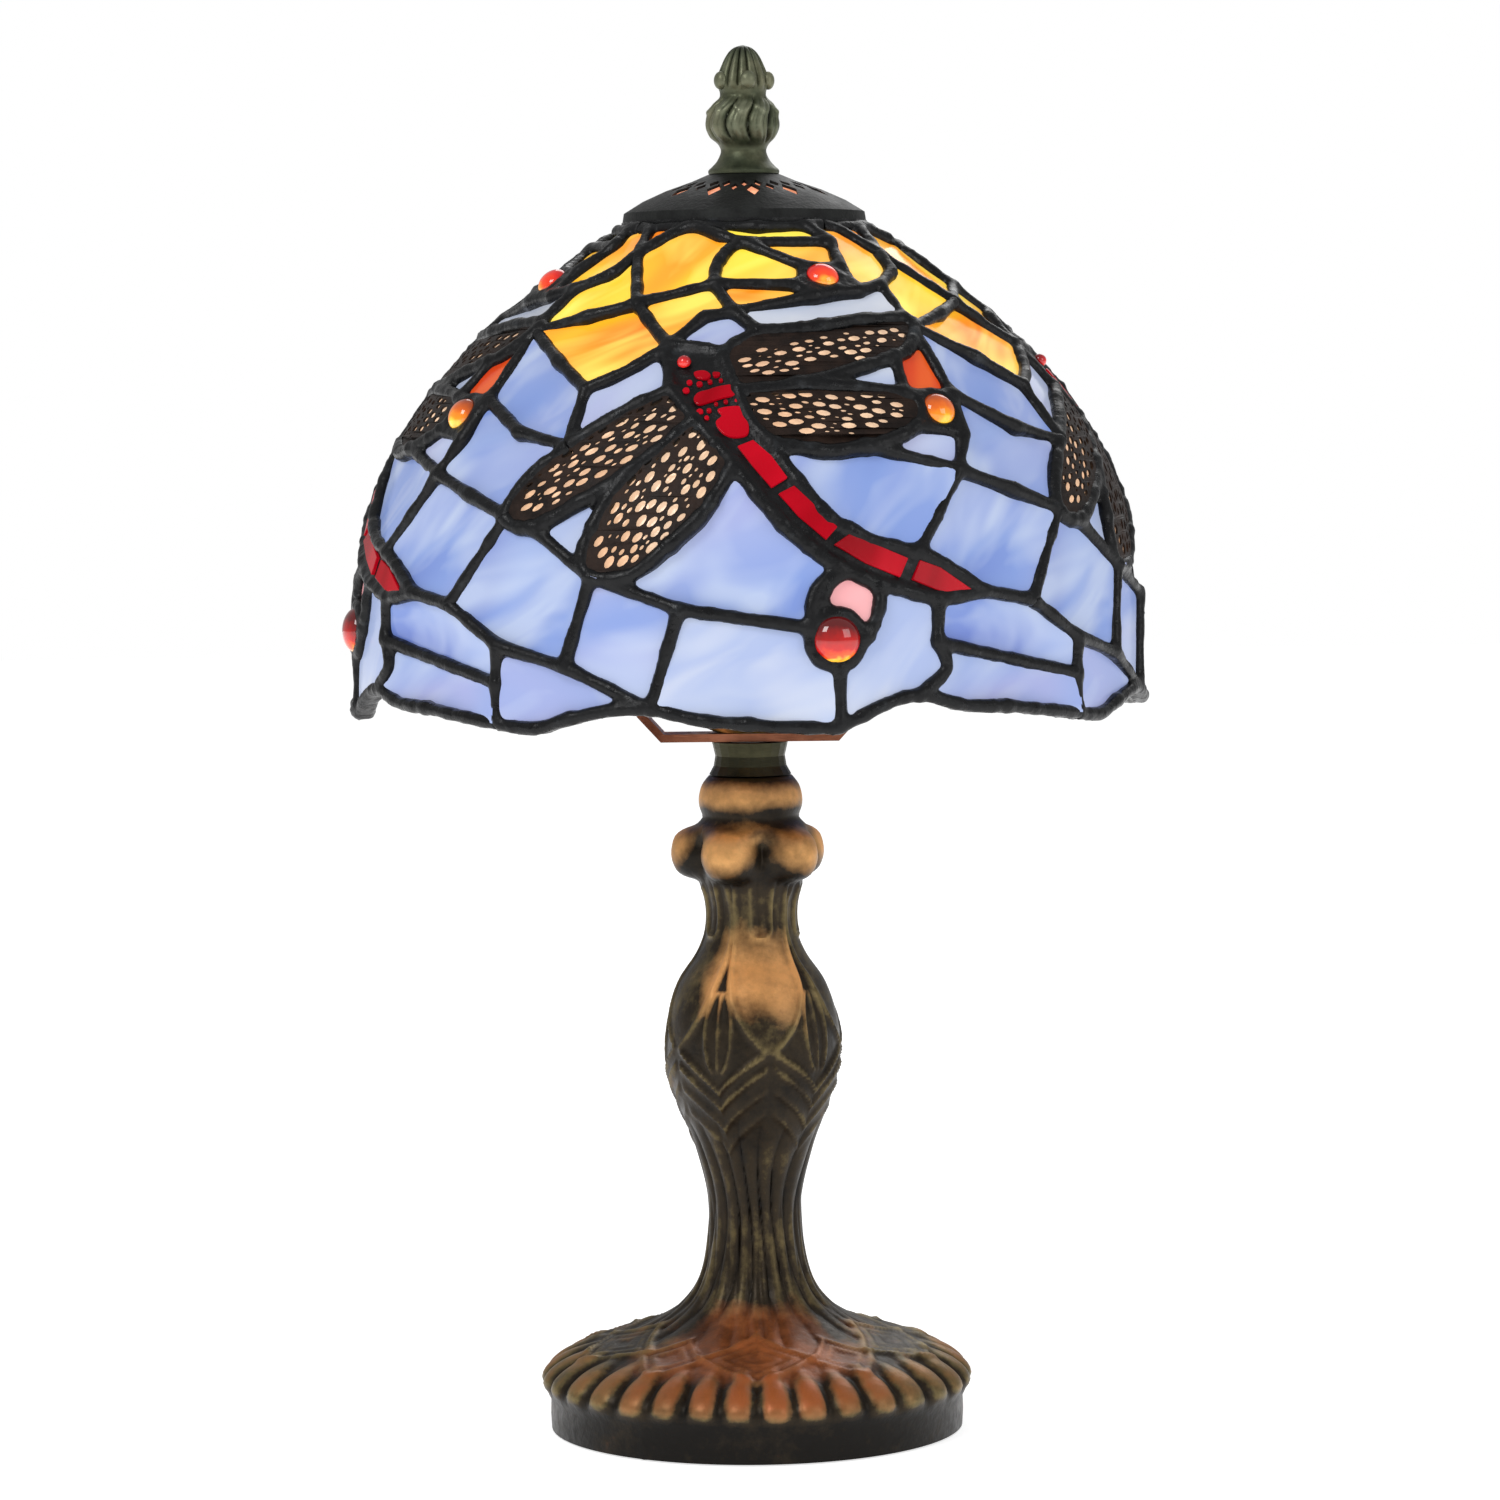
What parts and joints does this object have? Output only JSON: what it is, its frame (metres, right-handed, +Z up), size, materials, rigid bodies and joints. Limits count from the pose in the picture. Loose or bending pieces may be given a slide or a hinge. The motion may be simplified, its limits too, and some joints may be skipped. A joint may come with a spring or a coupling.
{
  "type": "table lamp",
  "caption": "Table lamp with a domed leaded-glass dragonfly shade on a strap bracket over the lampholder, a cast bronze-patina column and round foot.",
  "frame": {"origin": "centre of the foot's resting plane", "axes": "+Z up the lamp's axis, -Y towards the front, where the head of one dragonfly faces, +X to the right seen from the front"},
  "size_m": [0.2052, 0.2052, 0.3493],
  "materials": {
    "bronze": "aged bronze patina, rubbed copper high spots",
    "verdigris": "grey-green patina",
    "blackened": "near-black matte",
    "black_plastic": "moulded black",
    "solder": "black patina, faint gloss",
    "copper_strap": "coppered steel strip",
    "brass": "plain brass",
    "steel": "zinc-plated",
    "felt": "pressed felt",
    "porcelain": "glazed white",
    "opal_bulb": "opal, lit",
    "amber_glass": "streaked opalescent amber and yellow",
    "blue_glass": "streaked opalescent blue and lilac",
    "filigree": "blackened pierced sheet over pale glass",
    "red_glass": "deep red",
    "amber_jewel": "clear cabochon",
    "ruby_jewel": "clear cabochon"
  },
  "bodies": {
    "base": {"base_casting": "bronze", "neck_collar": "bronze", "cord_bushing": "black_plastic", "lamp_pipe": "brass", "pipe_lock_nut": "brass", "pipe_washer": "steel", "ballast_disc": "steel", "felt_pad": "felt", "shade_bracket": "copper_strap", "bracket_stud": "steel", "stud_nut": "steel", "holder_cap": "brass", "holder_insulator": "porcelain", "holder_ring": "porcelain", "screw_shell": "brass", "centre_contact": "brass"},
    "seat": {"seat_washer": "brass"},
    "shade": {"vented_cap": "blackened", "solder_lattice": "solder", "rim_wire": "solder", "aperture_ring": "brass", "crown_glass_1": "amber_glass", "field_glass_1": "blue_glass", "wings_left_1": "filigree", "wings_right_1": "filigree", "dragonfly_body_1": "red_glass", "crown_jewel_1": "amber_jewel", "amber_jewel_1": "amber_jewel", "ruby_jewel_1": "ruby_jewel", "crown_glass_2": "amber_glass", "field_glass_2": "blue_glass", "wings_left_2": "filigree", "wings_right_2": "filigree", "dragonfly_body_2": "red_glass", "crown_jewel_2": "amber_jewel", "amber_jewel_2": "amber_jewel", "ruby_jewel_2": "ruby_jewel", "crown_glass_3": "amber_glass", "field_glass_3": "blue_glass", "wings_left_3": "filigree", "wings_right_3": "filigree", "dragonfly_body_3": "red_glass", "crown_jewel_3": "amber_jewel", "amber_jewel_3": "amber_jewel", "ruby_jewel_3": "ruby_jewel", "crown_glass_4": "amber_glass", "field_glass_4": "blue_glass", "wings_left_4": "filigree", "wings_right_4": "filigree", "dragonfly_body_4": "red_glass", "crown_jewel_4": "amber_jewel", "amber_jewel_4": "amber_jewel", "ruby_jewel_4": "ruby_jewel"},
    "finial_screw": {"finial_insert": "brass"},
    "finial_head": {"finial": "verdigris"},
    "bulb_screw": {"bulb_cap": "brass"},
    "bulb": {"bulb_glass": "opal_bulb"}
  },
  "joints": [
    {"name": "shade_lift", "type": "slide", "parent": "base", "child": "seat", "axis": [0, 0, 1], "range_m": [0, 0.2]},
    {"name": "shade_turn", "type": "hinge", "parent": "seat", "child": "shade", "pos_m": [0, 0, 0.3164], "axis": [0, 0, 1], "continuous": true},
    {"name": "finial_rise", "type": "slide", "parent": "shade", "child": "finial_screw", "axis": [0, 0, 1], "range_m": [0, 0.01]},
    {"name": "finial_turn", "type": "hinge", "parent": "finial_screw", "child": "finial_head", "pos_m": [0, 0, 0.3171], "axis": [0, 0, 1], "range_deg": [0, 3600]},
    {"name": "bulb_rise", "type": "slide", "parent": "base", "child": "bulb_screw", "axis": [0, 0, 1], "range_m": [0, 0.0145]},
    {"name": "bulb_turn", "type": "hinge", "parent": "bulb_screw", "child": "bulb", "pos_m": [0, 0, 0.2267], "axis": [0, 0, 1], "range_deg": [0, 1440]}
  ],
  "couplings": [
    {"joint": "finial_turn", "follows": "finial_rise", "rad_per_m": 6283.2},
    {"joint": "bulb_turn", "follows": "bulb_rise", "rad_per_m": 1731.4}
  ]
}
